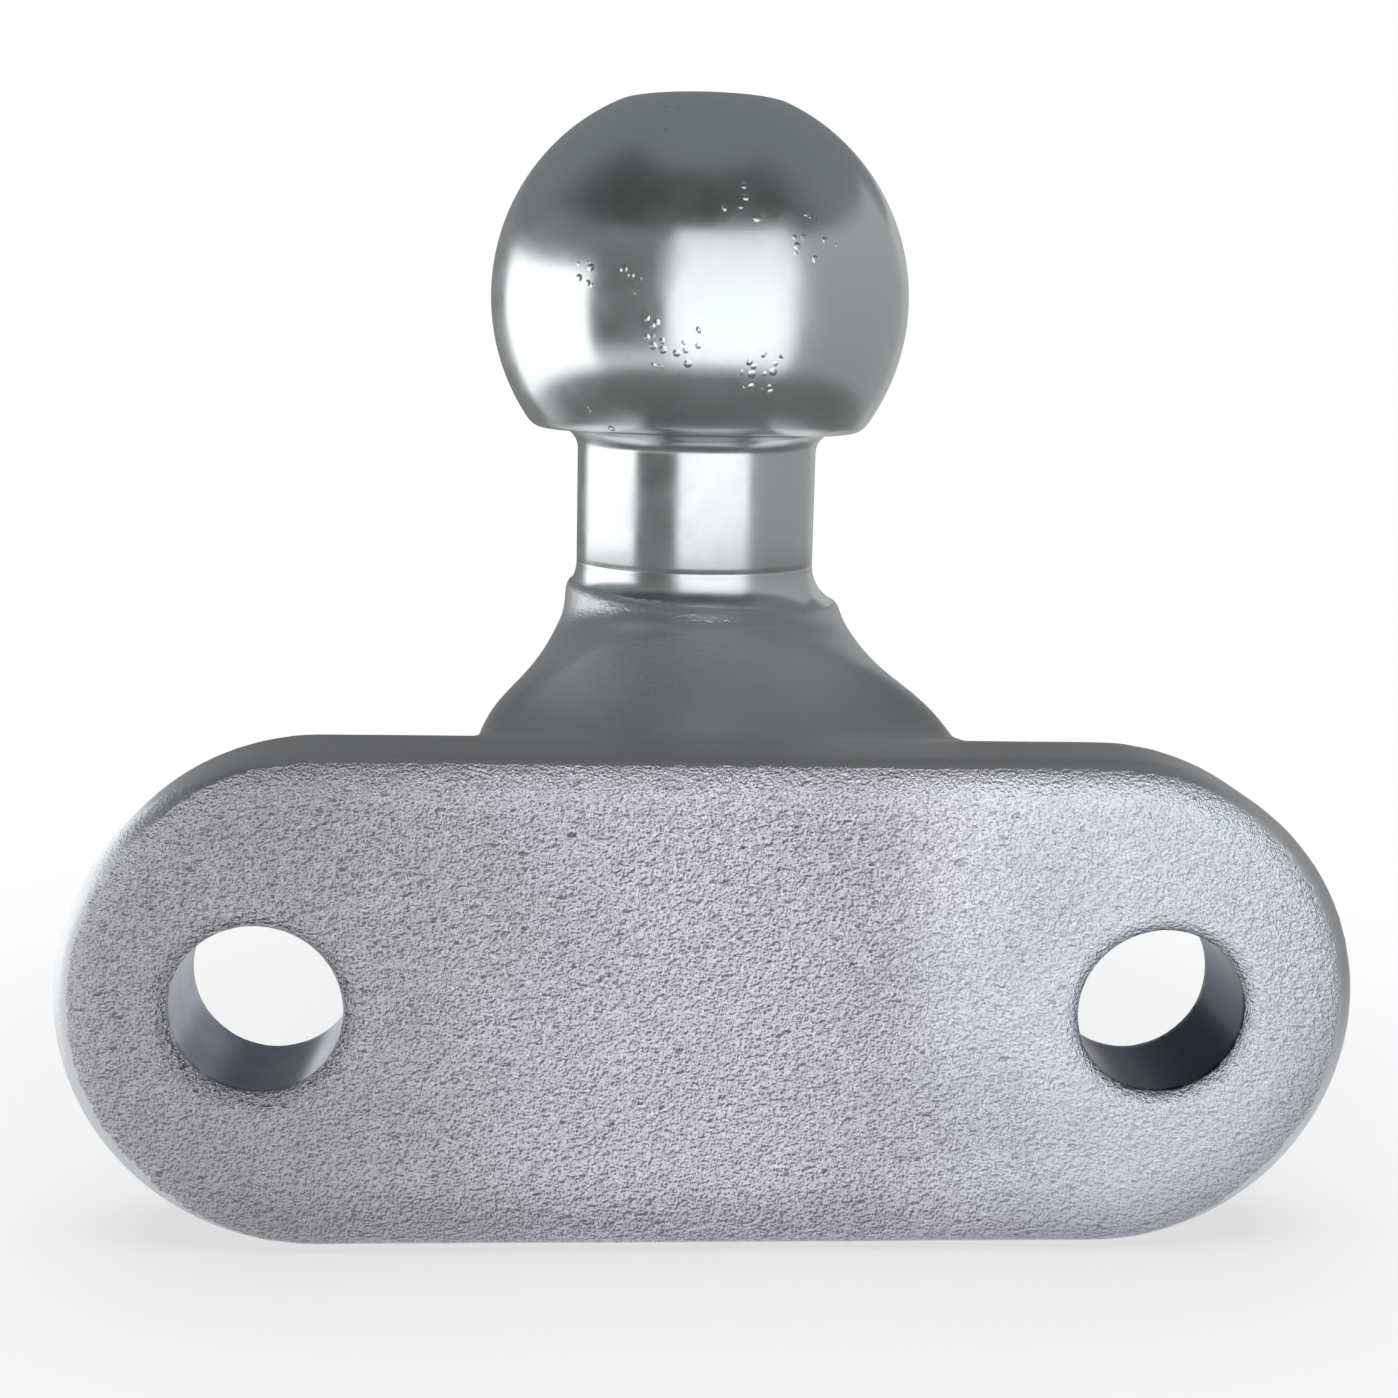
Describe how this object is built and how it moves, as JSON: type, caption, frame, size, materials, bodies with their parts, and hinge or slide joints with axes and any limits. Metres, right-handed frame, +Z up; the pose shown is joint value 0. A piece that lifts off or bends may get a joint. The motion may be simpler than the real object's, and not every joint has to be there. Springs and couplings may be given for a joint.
{
  "type": "flange tow ball",
  "caption": "Forged and zinc-plated tow ball on a swan-neck arm that rises from an oblong flange plate with a bolt hole at each end",
  "frame": {"origin": "centre of the mounting face, midway between the two bolt holes", "axes": "+Z up along the neck, +X along the line of the bolt holes, +Y from the mounting face towards the ball"},
  "size_m": [0.13, 0.08, 0.1185],
  "materials": {
    "zinc_plated_steel": "zinc plated, as forged on the plate and arm, turned on the ball and neck"
  },
  "bodies": {
    "root": {"tow_ball": "zinc_plated_steel"}
  },
  "joints": []
}
